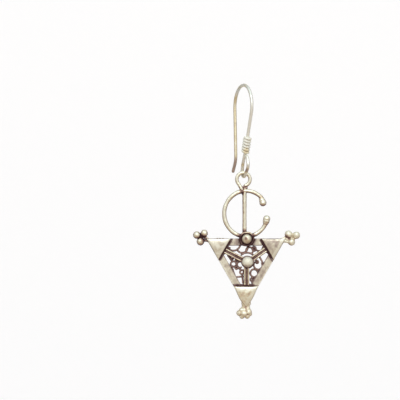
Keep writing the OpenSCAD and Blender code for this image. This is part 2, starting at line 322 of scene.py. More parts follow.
# %% Wind the coil
COIL_WIRE, COIL_TURNS, COIL_PITCH, COIL_GAP = 0.6, 5.5, 0.73, 0.04
COIL_FIRST, COIL_UP, COIL_LOOSE = math.radians(60), 0.45, 0.012
FREE_END, END_THIN, CLOSER = (0.2, 0.42), 0.86, 0.025
leg_head, leg_foot = (np.array(hook_corners[k][:2], float) for k in (3, 4))
leg_up = unit(leg_head - leg_foot)
leg_front = np.array([leg_up[1], -leg_up[0]])
wound = COIL_FIRST + np.linspace(0, 2 * math.pi * COIL_TURNS, int(COIL_TURNS * 44))
rise = COIL_UP + COIL_PITCH * (wound - COIL_FIRST) / (2 * math.pi)
coil_r = HOOK_WIRE / 2 + COIL_GAP + COIL_WIRE / 2 + COIL_LOOSE * np.sin(wound * 0.9 + 1.0)
flat = leg_foot + rise[:, None] * leg_up + (coil_r * np.cos(wound))[:, None] * leg_front
coil_line = in_hook_plane(flat, coil_r * np.sin(wound))
first_end = coil_line[0] + np.outer(FREE_END[::-1], unit(coil_line[0] - coil_line[1]))
last_end = coil_line[-1] + np.outer(FREE_END, unit(coil_line[-1] - coil_line[-2]))
coil_line = np.concatenate([first_end, coil_line, last_end])
coil_thick = np.full(len(coil_line), COIL_WIRE / 2 + CLOSER)
coil_thick[[0, -1]] *= END_THIN
coil = gather("wound_coil", [wire(coil_line, coil_thick, 16)])
print("the coil takes", round(length_of(coil_line), 1), "mm of wire")

# %% [markdown]
# ## The link
# The pendant hangs by a loop of stout wire that was bent round until its ends met at the top of the
# pin, and soldered there. Following the wire from the pin up, round and back keeps the fork where it
# leaves the pin, which a plain ring would lose. The numbers come from the CAD model, and the loop's
# top is its pivot. Small balls stand for the solder, and the remesh melts them into the joint.

# %% Bend the loop and solder it to the pin
LOOP_WIRE, LOOP_R, LOOP_X, LINK_PLAY = 0.9, 1.65, -0.1, 0.12
PIVOT_Z = EYE_BASE + HOOK_WIRE / 2 + LINK_PLAY + LOOP_WIRE / 2
LOOP_Z = PIVOT_Z - LOOP_R
PIN_X, PIN_D, PIN_UNEVEN = 0.18, 1.04, 0.03
PIN_TOP = PIVOT_Z - 4.4
PLATE_TOP = PIVOT_Z - 16.45

# Columns: right, back, up, wire radius
fork = np.array([
    (-0.25, -0.1, -26.75, 0.3), (-0.3, -0.13, -26.35, 0.38), (-0.44, -0.14, -25.85, 0.42),
    (-0.68, -0.12, -25.35, 0.44), (-0.95, -0.08, -24.85, 0.45), (-1.2, -0.03, -24.38, 0.45)])
# Columns: right, back, up, radius, and a stretch for two of them
link_solder = [
    (PIN_X, 0, PIN_TOP - 0.15, 0.54, (1, 0.95, 1)), (0.58, 0.06, -25.22, 0.42, (1, 0.9, 1.1)),
    (0.3, 0.1, -25.45, 0.46), (-0.5, 0.12, -25.55, 0.44), (0.05, 0.06, -25.05, 0.4),
]
loop = arc((LOOP_X, 0, LOOP_Z), LOOP_R, LOOP_R, np.radians(np.linspace(215, -72, 70)))
loop_path = np.concatenate([fork[:, :3], loop])
loop_thick = np.concatenate([fork[:, 3], np.full(len(loop), LOOP_WIRE / 2)])
pin_path = np.linspace((PIN_X, 0, PIN_TOP - 0.15), (PIN_X, 0, PLATE_TOP - 0.3), 30)
pin_thick = PIN_D / 2 * (1 + PIN_UNEVEN * np.sin(np.linspace(0, 9, 30)))
link_parts = [wire(*rounded(loop_path, loop_thick, 3)), wire(pin_path, pin_thick)]
link_parts += [ball(row[:3], *row[3:]) for row in link_solder]
link = soldered("loop_and_pin", link_parts, MIDDLE, melt=4, rough=0.014, bumps=1.1, seed=21)

# %% [markdown]
# The open ring is the ring of the old cloak pin. It was forged from wire: a little thinner in some
# places, flatter in others, with a drop-shaped knob melted onto each end. A wire's thickness is one
# number a point here, so the unevenness costs nothing. Each knob is a row of growing balls.

# %% Forge the open ring
RING_WIRE, RING_W, RING_H = 1.05, 5.45, 5.72
RING_X, RING_Z = 0.55, PIVOT_Z - 10.25
KNOB_STEPS = (0, 0.3, 0.62, 1)
sweep = np.radians(np.linspace(47, 333, 260))
ring_path = arc((RING_X, 0, RING_Z), RING_W, RING_H, sweep)
ring_thick = RING_WIRE / 2 * (1 + 0.045 * np.sin(4.2 * sweep) + 0.03 * np.sin(11 * sweep + 1))
ring_parts = [wire(ring_path, ring_thick, across=(0, 1, 0))]
# Columns: end of the wire, middle of its knob, radii of the knob's balls
knobs = [(ring_path[0], (RING_X + 4.24, 0, RING_Z + 2.74), (0.54, 0.64, 0.76, 0.88)),
         (ring_path[-1], (RING_X + 5.18, 0, RING_Z - 1.27), (0.54, 0.72, 0.85, 0.88))]
for end, knob, radii in knobs:
    for share, r in zip(KNOB_STEPS, radii):
        ring_parts.append(ball(end + (np.array(knob) - end) * share, r, (1, 0.96, 1)))
open_ring = soldered("open_ring", ring_parts, COARSE, melt=4, rough=0.02, bumps=1.5, seed=31)

# %% [markdown]
# ## The triangle
# The pendant's body is a triangle of sheet silver with its middle sawn out. Its places are measured
# from the middle of the triangle, right and up, and forward from the face of the sheet. One closed
# mesh, a triangle outside and six corners inside, is cut by the remesh into a soft-edged sheet.
# Three small balls on its top edge are solder that ran over.

# %% Saw out the plate
PLATE_SIDE, STRIP = 20.0, 1.8
PLATE_H = PLATE_SIDE * math.sqrt(3) / 2
PLATE_X, PLATE_Z = 0.55, PLATE_TOP - PLATE_H / 3
PLATE_FACE, PLATE_REAR = -0.1, 0.7
CAP_SIDE, LIP = 6.2, 0.55
CAP_DEPTH = CAP_SIDE * math.sqrt(3) / 2
CORNER_ANGLES = (150, 30, 270)
# How far out from the triangle's middle each of these lies
CORNER = PLATE_H * 2 / 3
CAP_EDGE = CORNER - CAP_DEPTH
LIP_EDGE = CAP_EDGE - LIP
STRIP_EDGE = PLATE_H / 3 - STRIP


def on_plate(right, up, forward=0):
    return np.array([PLATE_X + right, PLATE_FACE - forward, PLATE_Z + up])


def toward(angle, out, beside=0):
    """Right and up of a place that lies out along a corner's direction, and beside it."""
    c, s = math.cos(math.radians(angle)), math.sin(math.radians(angle))
    return out * c - beside * s, out * s + beside * c


# The window's short sides meet the strips this far beside a corner's line
half_side = (2 * STRIP_EDGE - LIP_EDGE) / math.sqrt(3)
outside = [toward(a, CORNER) for a in CORNER_ANGLES]
window = [toward(a, LIP_EDGE, beside) for a in CORNER_ANGLES for beside in (half_side, -half_side)]
front = np.array([on_plate(x, z) for x, z in outside + window])
rear = front + [0, PLATE_REAR - PLATE_FACE, 0]
faces = []
for k in range(3):
    n = (k + 1) % 3
    a, b, c = 3 + 2 * k, 4 + 2 * k, 3 + 2 * n
    faces += [[k, a, b], [k, b, c, n], [a, b, 9 + b, 9 + a], [b, c, 9 + c, 9 + b],
              [k, n, 9 + n, 9 + k], [9 + k, 9 + b, 9 + a], [9 + k, 9 + n, 9 + c, 9 + b]]
plate_parts = [(np.concatenate([front, rear]), faces)]
# Columns: right, radius
for x, r in ((-7.15, 0.17), (-6.5, 0.2), (-5.75, 0.15)):
    plate_parts.append(ball(on_plate(x, PLATE_H / 3 + 0.06, -0.3), r, detail=3))
plate = soldered("sawn_plate", plate_parts, PLAIN, melt=3, rough=0.018, bumps=2.2, seed=41)

# %% [markdown]
# Each corner wears a cap: a triangle of thin sheet that was pressed up from behind into a low
# pillow, with a narrow dark lip where it ends over the window. The pillow's height comes from how
# far a point is from all three sides at once, so the cap is crowned and its rim stays level.

# %% Press the caps
CAP_RIM, CAP_RISE, PILLOW_FLAT = 0.35, 0.41, 0.34
CAP_SHY, TIP_SHY, LIP_OUT, LIP_PROUD = 0.05, 0.12, 0.09, 0.19


def cap(number, angle, lip_from, lip_to, fuller=0, fine=30):
    """A pillow and its lip. fuller rounds its sides out a little."""
    corners = np.array([(CORNER - TIP_SHY, 0), (CAP_EDGE, CAP_SIDE / 2 - CAP_SHY),
                        (CAP_EDGE, CAP_SHY - CAP_SIDE / 2)])
    points, index = [], {}
    for i in range(fine + 1):
        for j in range(fine + 1 - i):
            share = np.array([i, j, fine - i - j]) / fine
            out, beside = share @ corners
            beside *= 1 + fuller * math.sin(math.pi * share[0] ** 1.4) / max(1 - share[0], 0.2)
            height = CAP_RIM + CAP_RISE * (27 * share.prod()) ** PILLOW_FLAT
            index[i, j] = len(points)
            points.append(on_plate(*toward(angle, out, beside), height))
    top = [[index[i, j], index[i, j + 1], index[i + 1, j]]
           for i in range(fine) for j in range(fine - i)]
    top += [[index[i, j + 1], index[i + 1, j + 1], index[i + 1, j]]
            for i in range(fine) for j in range(fine - 1 - i)]
    rim = [index[0, j] for j in range(fine)] + [index[i, fine - i] for i in range(fine)]
    rim += [index[i, 0] for i in range(fine, 0, -1)]
    count, m = len(points), len(rim)
    points += [[points[k][0], PLATE_FACE + 0.12, points[k][2]] for k in rim]
    walls = [[rim[k], count + k, count + (k + 1) % m, rim[(k + 1) % m]] for k in range(m)]
    pillow = np.array(points), top + walls + [list(range(count + m - 1, count - 1, -1))]
    start, stop = LIP_EDGE + LIP_OUT, CAP_EDGE + 0.3
    edge = [(start, lip_from), (start + 0.05, 0), (start - 0.03, lip_to), (stop, lip_to), (stop, lip_from)]
    lip = stacked([[on_plate(*toward(angle, *place), forward) for place in edge]
                   for forward in (LIP_PROUD, -0.1)])
    return soldered(f"corner_cap_{number}", [pillow, lip], COARSE, 3, 0.022, 1.7, 50 + number)


caps = [cap(1, 150, -2.98, 3.02), cap(2, 30, -3.1, 2.98), cap(3, 270, -3.0, 2.05, 0.12)]

# %% [markdown]
# ## The work in the window
# The window is filled with wire, as filigree is. Three pairs of straight rods run from the caps to
# a ball in the middle. Between the two rods of a pair a third wire lies sunk in the dark, and beads
# of solder hold their feet. All of it is wire along a path, and the remesh joins it up.

# %% Lay the rods
ROD_D, ROD_PITCH, ROD_SWAY = 0.5, 0.88, 0.02
ROD_PROUD, ROD_SUNK = 0.08, -0.16
# Columns: right and up at the cap, then at the ball
rod_lines = [(-5.12, 2.65, -0.8, 0.47), (4.79, 2.94, 1.4, 0.55), (0.14, -5.72, 0.14, -1.2)]
rod_parts = []
for k, (x0, z0, x1, z1) in enumerate(rod_lines):
    foot, head = np.array([x0, z0]), np.array([x1, z1])
    way = unit(head - foot)
    side = np.array([-way[1], way[0]]) * ROD_PITCH / 2
    for beside in (-1.65, 0, 1.65):
        bead = foot + beside * side - way * 0.12
        rod_parts.append(ball(on_plate(*bead, -0.2), 0.36, (1, 0.6, 1), 3))
    for s in (-1, 0, 1):
        sway = ROD_SWAY * np.sin(np.linspace(0, 7, 24) + k + s)[:, None] * side
        line = np.linspace(foot, head, 24) + s * side + sway
        path = [on_plate(x, z, ROD_PROUD if s else ROD_SUNK) for x, z in line]
        rod_parts.append(wire(*rounded(path, ROD_D / 2, 3), 14))
rods = soldered("window_rods", rod_parts, FINE, melt=3, rough=0.012, bumps=0.9, seed=61)

# %% [markdown]
# Between the rods, thin wire is curled into scrolls and soldered wherever it touches. A scroll is
# an arc whose radius may shrink on the way, so one table holds them all.

# %% Curl the scrolls
SCROLL_WIRE, DEPTH_SPREAD, DEPTH_STEP = 0.5, 0.14, 0.732
# Columns: right, up, first radius, last radius, first angle, sweep
scrolls = [
    (-3.1, 4.45, 1.7, 1.7, -5, -145), (-0.92, 3.52, 1.34, 1.34, 40, -200),
    (0.88, 2.74, 0.86, 0.86, 215, -265), (0.38, -0.1, 2.3, 2.3, 50, 80),
    (2.1, 3.15, 0.6, 0.14, 100, 560), (3.3, 3.55, 0.92, 0.92, 175, 190),
    (4.55, 3.05, 0.4, 0.2, 120, -330), (-4.25, 3.05, 0.42, 0.2, 60, 300),
    (-3.12, -0.6, 0.68, 0.68, 0, 360), (-1.5, -0.8, 0.78, 0.7, 80, 215),
    (-2.45, -1.6, 0.42, 0.2, 150, -340), (-1.02, -2.62, 0.5, 0.5, 0, 360),
    (-2.2, 0.6, 0.45, 0.22, 200, 330), (-3.55, 1.0, 0.48, 0.24, -60, 330),
    (3.05, -0.9, 1.12, 1.04, 140, 250), (2.72, -0.15, 0.42, 0.18, 120, -330),
    (2.05, -2.92, 0.96, 0.96, 0, 360), (1.5, -4.55, 0.45, 0.22, 60, 320),
    (2.35, 1.0, 0.4, 0.2, 200, -320),
]
# Columns: right, up, right, up
struts = [
    (-4.5, 1.5, -3.45, 0.0), (-3.6, -1.1, -2.7, -3.75), (-3.35, -4.05, -0.7, -3.72),
    (-2.1, -1.4, -1.1, -2.2), (3.3, 1.3, 4.3, -0.5), (2.85, -2.25, 4.1, -1.4),
    (2.6, -3.6, 1.5, -5.3), (-0.95, -3.0, -0.75, -5.3),
]


def sunk(i):
    """How far behind the face wire number i lies. No two lie quite level."""
    return SCROLL_WIRE / 2 + DEPTH_SPREAD * (i * DEPTH_STEP % 1)


scroll_parts = []
for i, (x, z, r0, r1, first, turned) in enumerate(scrolls):
    middle = on_plate(x, z, -sunk(i))
    if turned == 360:  # a closed ring
        scroll_parts.append(ring_of_wire(middle, r0, SCROLL_WIRE, 40, 0.03, i))
        continue
    steps = max(12, int(abs(turned) / 8))
    a = np.radians(np.linspace(first, first + turned, steps))
    r = np.linspace(r0, r1, steps) * (1 + 0.02 * np.sin(2.3 * a + i))
    scroll_parts.append(wire(*rounded(arc(middle, r, r, a), SCROLL_WIRE / 2, 2), 14, across=(0, 1, 0)))
for i, (x0, z0, x1, z1) in enumerate(struts):
    depth = sunk(len(scrolls) + i)
    path = np.linspace(on_plate(x0, z0, -depth), on_plate(x1, z1, -depth), 10)
    path[:, 2] += 0.05 * np.sin(np.linspace(0, math.pi, 10)) * (-1) ** i
    scroll_parts.append(wire(*rounded(path, SCROLL_WIRE / 2, 2), 14))
filigree = soldered("scroll_wires", scroll_parts, FINE, melt=3, rough=0.02, bumps=0.8, seed=71)

# %% [markdown]
# Silver that melts on charcoal draws itself up into a ball, so balls are the cheapest ornament a
# silversmith has. One sits in the middle in a collar of wire, one in a shallow cup on the top edge,
# and small ones are heaped at the corners. A ball is a subdivided icosahedron, because its faces
# are all about the same size and leave no mark at the poles.

# %% Set the two large balls
BOSS_R, TOP_R, CUP_R = 1.36, 1.24, 1.9
boss_middle = on_plate(0.38, -0.1)
boss_parts = [
    ball(boss_middle - [0, 0.25, 0], BOSS_R, (1, 1, 0.985), 5),
    ring_of_wire(boss_middle - [0, 0.05, 0], BOSS_R + 0.03, SCROLL_WIRE, 72, 0.025, 3),
]
boss = soldered("centre_ball", boss_parts, MIDDLE, melt=3, rough=0.014, bumps=1.3, seed=81)

# Columns: out from the cup's middle, forward
cup_line = [(CUP_R - 0.35, -0.5), (CUP_R, -0.13), (CUP_R, 0.42), (CUP_R - 0.12, 0.56),
            (CUP_R - 0.32, 0.6), (TOP_R, 0.3)]
cup_middle = on_plate(0.18, PLATE_H / 3 - 0.1)
turns = full_turn(72)
dents = 1 + 0.03 * np.cos(6 * turns + 0.5) + 0.015 * np.sin(3 * turns + 0.7)
cup = stacked([arc(cup_middle - [0, forward, 0], out * dents, out * dents, turns)
               for out, forward in cup_line])
top_parts = [cup, ball(cup_middle + [0, -0.45, 0], TOP_R, (1, 1, 0.98), 5)]
top_ball = soldered("top_ball_in_cup", top_parts, MIDDLE, melt=3, rough=0.014, bumps=1.2, seed=82)

# %% [markdown]
# The small balls were soldered in one go, and solder ran between them in webs. A web is a row of
# tiny balls, thinner halfway. The heap at the foot was heated longest and has slumped into one
# lump, so its skin gets more rounds of melt than the other two.

# %% Solder the clusters of balls
# Columns: right, up, radius
left_balls = [(-12.32, 6.65, 0.91), (-10.42, 7.1, 0.9), (-11.38, 5.02, 0.98)]
right_balls = [(10.62, 6.82, 0.98), (12.58, 6.6, 0.95), (11.38, 4.87, 0.9)]
foot_balls = [(-1.66, -12.82, 0.78), (0.62, -12.6, 0.86), (-1.02, -13.62, 0.66),
              (0.3, -13.62, 0.66), (-0.46, -12.9, 1.02), (-1.1, -12.15, 0.72),
              (0.92, -13.05, 0.62), (-0.4, -12.2, 0.8)]
# Columns: right, up, right, up
left_webs = [(-12.32, 6.65, -10.42, 7.1), (-10.42, 7.1, -11.38, 5.02), (-11.38, 5.02, -12.32, 6.65),
             (-11.4, 6.4, -10.3, 6.2), (-10.3, 6.3, -9.2, 5.3), (-10.6, 5.3, -9.6, 5.3)]
right_webs = [(10.62, 6.82, 12.58, 6.6), (12.58, 6.6, 11.38, 4.87), (10.5, 6.5, 9.2, 5.5),
              (11.2, 4.9, 9.4, 5.2), (11.1, 6.6, 12.1, 6.4), (11.2, 6.2, 11.5, 5.4),
              (10.3, 5.6, 11.1, 5.4)]
foot_webs = [(-0.38, -10.4, -0.5, -12.0), (0.42, -10.4, 0.3, -12.0), (0.0, -10.2, -0.2, -12.4)]
WEB_BACK, WEB_BEADS, WEB_WAIST = 0.15, 6, 0.25


def cluster(name, balls, webs, thick, seed, melt=4, rough=0.03):
    """Balls at a corner, with webs of solder to each other and to the plate."""
    parts = []
    for k, (x, z, r) in enumerate(balls):
        stretch = (1 + 0.03 * math.sin(seed + k), 0.97, 1 + 0.03 * math.cos(2 * seed + k))
        parts.append(ball(on_plate(x, z), r, stretch))
    for x0, z0, x1, z1 in webs:
        line = np.linspace(on_plate(x0, z0, -WEB_BACK), on_plate(x1, z1, -WEB_BACK), WEB_BEADS)
        for point, share in zip(line, np.linspace(0, 1, WEB_BEADS)):
            waist = 1 - WEB_WAIST * math.sin(math.pi * share)
            parts.append(ball(point, thick * waist, (1, 0.8, 1), 3))
    return soldered(name, parts, COARSE, melt, rough, 1.3, seed)


clusters = [cluster("left_balls", left_balls, left_webs, 0.44, 91),
            cluster("right_balls", right_balls, right_webs, 0.52, 92),
            cluster("foot_balls", foot_balls, foot_webs, 0.8, 93, melt=14, rough=0.05)]

# %% [markdown]
# ## Where the silver goes dark
# Old silver is black in its hollows and bright where fingers and cloth rub it. To know the hollows,
# the pendant is filled into a grid of small cells, and the grid is blurred. Just off a flat face half
# of the cells nearby are metal. In a corner more of them are, and over an edge fewer. That share
# is kept on each point as "tarnish", together with the painted shade added below, and the
# material reads it.

# %% Find the hollows
pendant_pieces = [link, open_ring, plate, *caps, rods, filigree, boss, top_ball, *clusters]
CELL, MARGIN, MOST_HITS = 0.12, 2.4, 12
NEAR_BY, FURTHER_OUT = 0.24, 0.72
BACKWARD = Vector((0, 1, 0))
lowest = np.min([points_of(p).min(0) for p in pendant_pieces], 0) - MARGIN
highest = np.max([points_of(p).max(0) for p in pendant_pieces], 0) + MARGIN
filled = np.zeros(np.ceil((highest - lowest) / CELL).astype(int), bool)
for piece in pendant_pieces:
    tree = BVHTree.FromPolygons([v.co for v in piece.data.vertices],
                                [p.vertices for p in piece.data.polygons])
    co = points_of(piece)
    low = ((co.min(0) - lowest) / CELL).astype(int)
    high = np.ceil((co.max(0) - lowest) / CELL).astype(int)
    for i, k in np.ndindex(high[0] + 1 - low[0], high[2] + 1 - low[2]):
        i, k = i + low[0], k + low[2]
        right, up = lowest[0] + (i + 0.5) * CELL, lowest[2] + (k + 0.5) * CELL
        at, went_in = Vector((right, co[:, 1].min() - 1, up)), None
        for _ in range(MOST_HITS):
            hit, normal, *_ = tree.ray_cast(at, BACKWARD)
            if hit is None:
                break
            if normal.y < 0:
                went_in = hit.y if went_in is None else went_in
            elif went_in is not None:
                a, b = ((np.array([went_in, hit.y]) - lowest[1]) / CELL).round().astype(int)
                filled[i, a:b, k] = True
                went_in = None
            at = hit + BACKWARD * 1e-4
print(f"{filled.sum()} of {filled.size} cells are metal, {filled.sum() * CELL ** 3:.1f} cubic mm")


def blurred(grid, reach):
    """The share of metal in a box round each cell, blurred twice so that it is nearly a ball."""
    n = int(round(reach / CELL))
    for axis in (0, 1, 2, 0, 1, 2):
        pad = [(0, 0)] * 3
        pad[axis] = (n + 1, n)
        total = np.pad(np.cumsum(grid, axis=axis, dtype=np.float32), pad, mode="edge")
        here = np.arange(grid.shape[axis])
        grid = (total.take(here + 2 * n + 1, axis) - total.take(here, axis)) / (2 * n + 1)
    return grid


def looked_up(grid, co):
    """The grid's value at each point, mixed from the eight cells round it."""
    at = np.clip((co - lowest) / CELL - 0.5, 0, np.array(grid.shape) - 1.001)
    base = at.astype(int)
    part = at - base
    value = np.zeros(len(co))
    for corner in np.ndindex(2, 2, 2):
        share = np.prod(np.where(corner, part, 1 - part), axis=1)
        i, j, k = (base + corner).T
        value += share * grid[i, j, k]
    return value


fine_share, wide_share = (blurred(filled.astype(np.float32), reach) for reach in (NEAR_BY, FURTHER_OUT))
print(f"share of metal: up to {fine_share.max():.2f} near by, {wide_share.max():.2f} further out")

# %% [markdown]
# The hollows alone don't say everything. The fine wires were never polished between. The sides that
# turn away from the front and the undersides are darkened as well: painted shade. So a table gives each piece
# its share of each cause.
# A second table adds round spots where flux burnt in. A negative one is rubbed bright, except the one under
# the loop's top, which is painted light over the shadow where the hook's eye passes.
#
# The last column is "satin", a second layer. Silver that was pickled in acid and never burnished is
# white and matt, as the middle ball, the coil and the hook's leg are. It is less of a mirror, so it
# looks evenly light where polished wire would show dark stripes.

# %% Fill in the tarnish tables
# Columns: all over, in hollows, painted shade on the sides, painted shade underneath, in soldered joints,
# satin
tarnish_table = {
    "loop_and_pin": (0.08, 1, 0.62, 0.48, 0, 0),
    "open_ring": (0.1, 1, 0.62, 0.55, 0, 0),
    "sawn_plate": (0.21, 1, 0.35, 0.3, 0, 0),
    "corner_cap_1": (0.14, 1, 0.35, 0.3, 0, 0),
    "corner_cap_2": (0.32, 1, 0.35, 0.3, 0, 0),
    "corner_cap_3": (0.1, 1, 0.35, 0.3, 0, 0),
    "window_rods": (0.46, 1, 0.62, 0.3, 0, 0),
    "scroll_wires": (0.755, 1, 0.3, 0.3, 0, 0),
    "centre_ball": (-0.12, 0.8, 0.08, 0.2, 0, 1.15),
    "top_ball_in_cup": (0.2, 1, 0.15, 0.15, 0, 0),
    "left_balls": (0.25, 1, 0.9, 0.38, 0.8, 0),
    "right_balls": (0.02, 0.15, 0.3, 0.1, 0.05, 0.4),
    "foot_balls": (0.2, 0.5, 0.25, 0.08, 0.15, 0.3),
}
upper_end, lower_end = ring_path[[0, -1]]
# Columns: right, up, reach, share
stain_spots = {
    "loop_and_pin": [(0.7, -25.25, 0.75, 0.4), (0.05, -24.95, 0.62, 0.5), (-1.2, -25.25, 0.4, 0.8),
                     # The last loop spot lightens the underside of the loop's top, where the hook's eye
                     # passes: painted light over shade.
                     (-0.5, -26.2, 0.8, 0.65), (-0.5, -26.8, 0.6, 0.7), (-0.2, -21.95, 0.9, -0.4)],
    "open_ring": [(-0.5, -26.0, 0.9, 0.6), (upper_end[0], upper_end[2], 0.75, 0.5),
                  (lower_end[0] - 0.1, lower_end[2] - 0.3, 0.9, 0.27), (2.55, -26.2, 2.2, 0.16),
                  (-2.6, -26.6, 2.0, 0.08)],
    "top_ball_in_cup": [(cup_middle[0] - 0.22, cup_middle[2] + 0.18, 0.55, 0.7)],
    "sawn_plate": [(-9.95, -38.1, 0.9, 0.9), (3.2, -38.9, 1.6, -0.35), (5.3, -44.3, 1.8, -0.12)],
    "corner_cap_1": [(-9.95, -38.1, 0.8, 0.9), (-6.95, -39.2, 2.5, 0.09)],
    "corner_cap_2": [(6.2, -39.4, 3.2, 0.12), (6.8, -40.7, 1.6, -0.12)],
    "left_balls": [(-9.95, -38.2, 1.1, 0.7), (-10.5, -37.3, 0.7, 0.4)],
    "right_balls": [(10.6, -37.4, 0.7, 0.7), (11.25, -37.85, 0.6, 0.6), (11.3, -39.15, 0.5, 0.35),
                    (12.9, -38.4, 0.5, 0.25)],
    "ear_hook_wire": [(0, EYE_BASE + 0.2, 1.3, 0.08), (0.5, -20.8, 0.9, 0.7), (-0.2, -19.5, 0.7, 0.35)],
    "wound_coil": [(0.5, -16.2, 1.0, 0.22)],
}


def fade(value, none, full):
    """0 where a value is none, 1 where it is full, and even between them."""
    return np.clip((value - none) / (full - none), 0, 1)


def off(co, place):
    """How far each point is from a place, as the viewer sees it."""
    return np.hypot(co[:, 0] - place[0], co[:, 2] - place[-1])


def spots_on(piece, co):
    amount = np.zeros(len(co))
    for x, z, reach, share in stain_spots.get(piece.name, ()):
        amount += share * fade(off(co, (x, z)), reach, 0)
    return amount


def write_layers(piece, tarnish, satin):
    """Keeps two numbers on each point, where a material can read them."""
    for name, values in ("tarnish", np.clip(tarnish, 0, 1)), ("satin", satin):
        layer = piece.data.attributes.new(name, "FLOAT", "POINT")
        layer.data.foreach_set("value", values.astype(np.float32))
        print(f"{piece.name}: {name} {values.mean():.2f} on average, {values.max():.2f} at most")


print("pieces with spots of stain:", len(stain_spots))

# %% [markdown]
# Some stains follow the way that a piece is built. The lips of the caps, the sawn edge of the window
# and the cup hold a black line; on the lips it is oxide and painted shade of the step down to the
# window. Heat browned the plate round the cup, and the right flank of two caps was rubbed bright
# again. The middle ball is made darker toward its bottom, and the pin darker on its left and lighter
# where it faces right: painted shade and painted light. Each is a fade across a line that the sizes
# above give.

# %% Stain the plate, the wires and the balls
LIP_DARK, TOP_EDGE_DARK, SAWN_DARK, COLLAR_DARK, CUP_DARK = 0.75, 0.24, 0.5, 0.85, 0.8
HEAT_PLATE, HEAT_WIRE, RIGHT_STRIPS = 0.3, 0.55, 0.117
LIP_ENDS = {150: 3.1, 30: 3.1, 270: 2.15}
# Columns: right, up, slope, width, share
bright_flanks = {"corner_cap_2": (8.05, -40.0, 0.565, 0.5, 0.28),
                 "corner_cap_3": (2.5, -49.8, 0.57, 0.6, 0.2)}


def lip_share(co):
    """1 on the lips of the caps and on the strip of plate beside them, 0 elsewhere."""
    found = np.zeros(len(co))
    for angle, end in LIP_ENDS.items():
        out, beside = toward(-angle, co[:, 0] - PLATE_X, co[:, 2] - PLATE_Z)
        line = np.abs(out - (CAP_EDGE - LIP / 2 + 0.05))
        found = np.maximum(found, fade(beside, end, end - 0.2) * fade(line, 0.416, 0.156))
    return found * fade(co[:, 1], PLATE_FACE + 0.35, PLATE_FACE + 0.15)


def sheet_stains(piece, co):
    right, _, up = co.T
    # The lips' dark line is oxide and painted shade of the step down to the window.
    amount = LIP_DARK * lip_share(co) + TOP_EDGE_DARK * fade(up, PLATE_TOP - 0.24, PLATE_TOP - 0.08)
    if piece is plate:
        past = -np.min([toward(-a, right - PLATE_X, up - PLATE_Z)[0] for a in CORNER_ANGLES], 0)
        amount += SAWN_DARK * fade(past, STRIP_EDGE + 0.34, STRIP_EDGE)
        amount += HEAT_PLATE * fade(off(co, cup_middle), 3.5, 2.3)
        amount += RIGHT_STRIPS * fade(right, PLATE_X, PLATE_X + 3) * (1 + waves(co, 1.4, 15))
    if piece is caps[1]:
        amount += 0.06 * waves(co, 1.6, 17)
    if piece is caps[2]:
        low_half = fade(up, PLATE_Z - 6.7, PLATE_Z - 7.7)
        amount += 0.17 * low_half * (0.9 + 0.3 * waves(co, 1.7, 19))
    if piece.name in bright_flanks:
        x, z, slope, width, share = bright_flanks[piece.name]
        amount -= share * fade(right - x - slope * (up - z), 0, width)
    return amount


def wire_stains(piece, co, facing_right):
    right, back, up = co.T
    if piece is rods:
        return 0.06 * fade(back, PLATE_FACE - 0.16, PLATE_FACE - 0.04)
    if piece is filigree:
        return 0.3 * fade(back, PLATE_FACE + 0.25, PLATE_FACE + 0.45)
    amount = HEAT_WIRE * fade(off(co, cup_middle), 3.0, 2.0)
    if piece is link:
        # Below its top the pin is darker on its left, which is painted shade, and lighter where it faces
        # right, which is painted light.
        left_side = fade(right, PIN_X - 0.12, PIN_X - 0.34)
        amount += (up < PIN_TOP) * (0.13 + 0.22 * left_side - 0.45 * fade(facing_right, 0.3, 1.3))
    return amount


def ball_stains(piece, co):
    up = co[:, 2]
    if piece is top_ball:
        upper_wall = fade(up, cup_middle[2] + 0.6, cup_middle[2] + 1.4)
        return CUP_DARK * fade(off(co, cup_middle), TOP_R - 0.04, TOP_R + 0.08) * (1 - 0.65 * upper_wall)
    if piece is boss:
        collar = fade(off(co, boss_middle), BOSS_R - 0.05, BOSS_R + 0.05)
        # The ball's lower part is made darker tan: painted shade. The dark collar ring round it is oxide.
        return 0.24 * fade(up, boss_middle[2] - 0.2, boss_middle[2] - 1.0) + COLLAR_DARK * collar
    return np.zeros(len(co))


print("darkest lines: lips", LIP_DARK, "cup", CUP_DARK, "collar", COLLAR_DARK)

# %% [markdown]
# Now the causes are added up on each point. The share of metal is looked up a little way off the
# surface: near for the fine black lines, further out for the broad shade. A flat face is no hollow,
# so its share is taken away first. The middle ball was cleaned, and keeps a third of its tarnish.

# %% Write the tarnish on each point
NEAR_OFF, NEAR_FLAT, NEAR_DARK = 0.1, 0.36, 1.5
WIDE_OFF, WIDE_FLAT, WIDE_DARK = 0.3, 0.3, 0.9
CLEANED, CLOUDS = 0.35, 0.1
for piece in pendant_pieces:
    all_over, hollows, sides, undersides, joints, satin = tarnish_table[piece.name]
    co, facing = points_of(piece), points_of(piece, "normal")
    near = looked_up(fine_share, co + facing * NEAR_OFF) - NEAR_FLAT
    wide = looked_up(wide_share, co + facing * WIDE_OFF) - WIDE_FLAT
    amount = all_over + hollows * (NEAR_DARK * near + WIDE_DARK * np.clip(wide, 0, None))
    if piece is boss:
        amount *= np.where(off(co, boss_middle) < BOSS_R - 0.05, CLEANED, 1)
    if piece in (plate, *caps):
        amount += sheet_stains(piece, co)
    elif piece in (link, open_ring, rods, filigree):
        amount += wire_stains(piece, co, facing[:, 0])
    else:
        amount += ball_stains(piece, co) + joints * fade(near, 0.02, 0.14)
    # Edges that turn away from the front and surfaces that face down are darkened here: painted shade.
    turned_away = fade(np.abs(facing[:, 1]), 0.68, 0.26) * (1 - 0.7 * fade(facing[:, 2], 0, 1))
    amount += sides * turned_away + undersides * fade(facing[:, 2], -0.15, -0.65)
    amount += CLOUDS * waves(co, 1.9, 7) + spots_on(piece, co)
    write_layers(piece, amount, np.full(len(co), satin))
